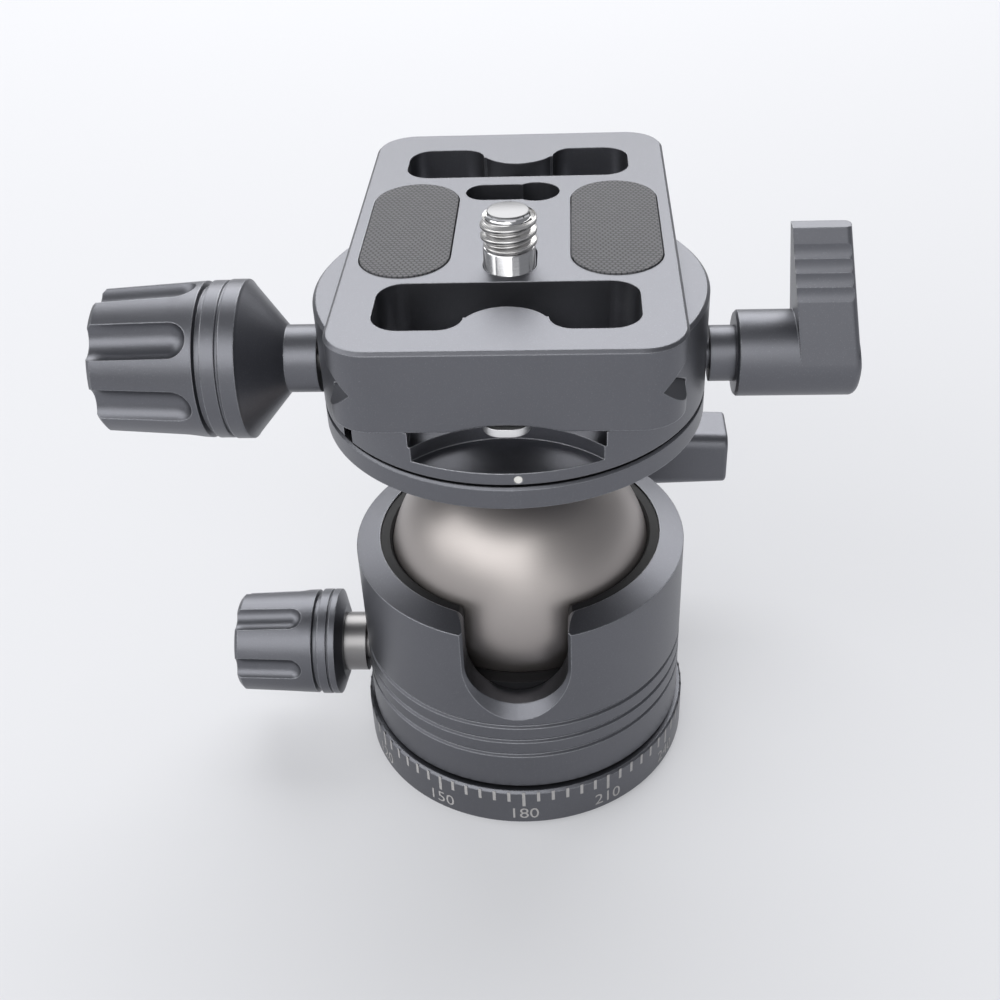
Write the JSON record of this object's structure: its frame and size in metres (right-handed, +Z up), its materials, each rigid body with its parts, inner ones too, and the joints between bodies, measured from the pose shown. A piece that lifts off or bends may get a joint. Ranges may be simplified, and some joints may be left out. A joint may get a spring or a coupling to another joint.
{
  "type": "tripod ball head",
  "caption": "Low tripod ball head with a side notch, levelled panning base, panoramic screw clamp and a slotted quick-release camera plate.",
  "frame": {"origin": "centre of the base's underside, on the axis of the 3/8 inch tripod thread", "axes": "+Z up along the axis of the base, the housing and, at rest, the clamp; -Y towards the notch; +X towards the clamp's pan lock lever"},
  "size_m": [0.0878, 0.0627, 0.0758],
  "materials": {
    "anodised_grey": "satin, bead blasted and anodised",
    "ball_satin": "satin",
    "black_polymer": "matt",
    "steel": "bright",
    "rubber": "matt, fine hexagon texture",
    "brass": "satin",
    "pale_mark": "matt"
  },
  "bodies": {
    "base": {"base_plate": "anodised_grey", "thread_insert": "steel", "pan_washer": "black_polymer"},
    "housing": {"housing": "anodised_grey", "ball_collar": "black_polymer", "lower_cup": "black_polymer", "cup_spring": "steel", "pan_set_screws": "steel"},
    "main_lock": {"main_lock_lever": "anodised_grey", "main_lock_screw": "steel"},
    "brake": {"brake_shoe": "brass"},
    "pan_lock": {"pan_lock_knob": "anodised_grey", "pan_lock_screw": "steel"},
    "pan_brake": {"pan_lock_shoe": "brass"},
    "ball": {"ball": "ball_satin"},
    "stem": {"stem": "ball_satin"},
    "clamp_mount": {"clamp_disc": "anodised_grey", "retaining_cap": "steel", "cap_screws": "steel", "stem_screw": "steel"},
    "clamp": {"clamp_body": "anodised_grey", "index_dot": "pale_mark", "guide_pins": "steel", "jaw_springs": "steel"},
    "jaw": {"clamp_jaw": "anodised_grey"},
    "knob": {"clamp_knob": "anodised_grey", "clamp_draw_screw": "steel"},
    "clamp_brake": {"clamp_lock_shoe": "brass"},
    "clamp_lock": {"clamp_lock_lever": "anodised_grey", "clamp_lock_screw": "steel"},
    "plate": {"release_plate": "anodised_grey", "left_pad": "rubber", "right_pad": "rubber", "stop_screw": "steel"},
    "camera_screw": {"camera_screw": "steel"},
    "ring": {"d_ring": "steel"}
  },
  "joints": [
    {"name": "base_pan", "type": "hinge", "parent": "base", "child": "housing", "pos_m": [0, 0, 0.0066], "axis": [0, 0, 1], "continuous": true},
    {"name": "main_lock_turn", "type": "hinge", "parent": "housing", "child": "main_lock", "pos_m": [0, 0.021, 0.0238], "axis": [0, 1, 0], "range_deg": [0, 40]},
    {"name": "brake_slide", "type": "slide", "parent": "housing", "child": "brake", "axis": [0, 1, 0], "range_m": [0, 0.00015]},
    {"name": "pan_lock_turn", "type": "hinge", "parent": "housing", "child": "pan_lock", "pos_m": [-0.021, 0, 0.0126], "axis": [-1, 0, 0], "range_deg": [0, 90]},
    {"name": "pan_brake_slide", "type": "slide", "parent": "housing", "child": "pan_brake", "axis": [-1, 0, 0], "range_m": [0, 0.00022]},
    {"name": "ball_side_tilt", "type": "hinge", "parent": "housing", "child": "ball", "pos_m": [0, 0, 0.028], "axis": [0, 1, 0], "range_deg": [-40, 55]},
    {"name": "ball_front_tilt", "type": "hinge", "parent": "ball", "child": "stem", "pos_m": [0, 0, 0.028], "axis": [1, 0, 0], "range_deg": [-40, 90]},
    {"name": "ball_twist", "type": "hinge", "parent": "stem", "child": "clamp_mount", "pos_m": [0, 0, 0.0494], "axis": [0, 0, 1], "continuous": true},
    {"name": "clamp_pan", "type": "hinge", "parent": "clamp_mount", "child": "clamp", "pos_m": [0, 0, 0.0575], "axis": [0, 0, 1], "continuous": true},
    {"name": "clamp_lock_turn", "type": "hinge", "parent": "clamp", "child": "clamp_lock", "pos_m": [0.0224, 0, 0.0575], "axis": [1, 0, 0], "range_deg": [0, 90]},
    {"name": "clamp_brake_slide", "type": "slide", "parent": "clamp", "child": "clamp_brake", "axis": [1, 0, 0], "range_m": [0, 0.0002]},
    {"name": "clamp_knob_turn", "type": "hinge", "parent": "jaw", "child": "knob", "pos_m": [-0.0224, 0, 0.0575], "axis": [-1, 0, 0], "range_deg": [0, 820]},
    {"name": "jaw_slide", "type": "slide", "parent": "clamp", "child": "jaw", "axis": [-1, 0, 0], "range_m": [0, 0.0016]},
    {"name": "plate_slide", "type": "slide", "parent": "clamp", "child": "plate", "axis": [0, 1, 0], "range_m": [-0.015, 0.025]},
    {"name": "camera_screw_slide", "type": "slide", "parent": "plate", "child": "camera_screw", "axis": [0, 1, 0], "range_m": [0, 0.003]},
    {"name": "ring_fold", "type": "hinge", "parent": "camera_screw", "child": "ring", "pos_m": [0, 0, 0.06185], "axis": [1, 0, 0], "range_deg": [0, 1.5]}
  ],
  "couplings": [
    {"joint": "brake_slide", "follows": "main_lock_turn", "m_per_rad": 0.00015915},
    {"joint": "pan_brake_slide", "follows": "pan_lock_turn", "m_per_rad": 0.00012732},
    {"joint": "clamp_brake_slide", "follows": "clamp_lock_turn", "m_per_rad": 0.00011141},
    {"joint": "jaw_slide", "follows": "clamp_knob_turn", "m_per_rad": 0.00011141}
  ]
}
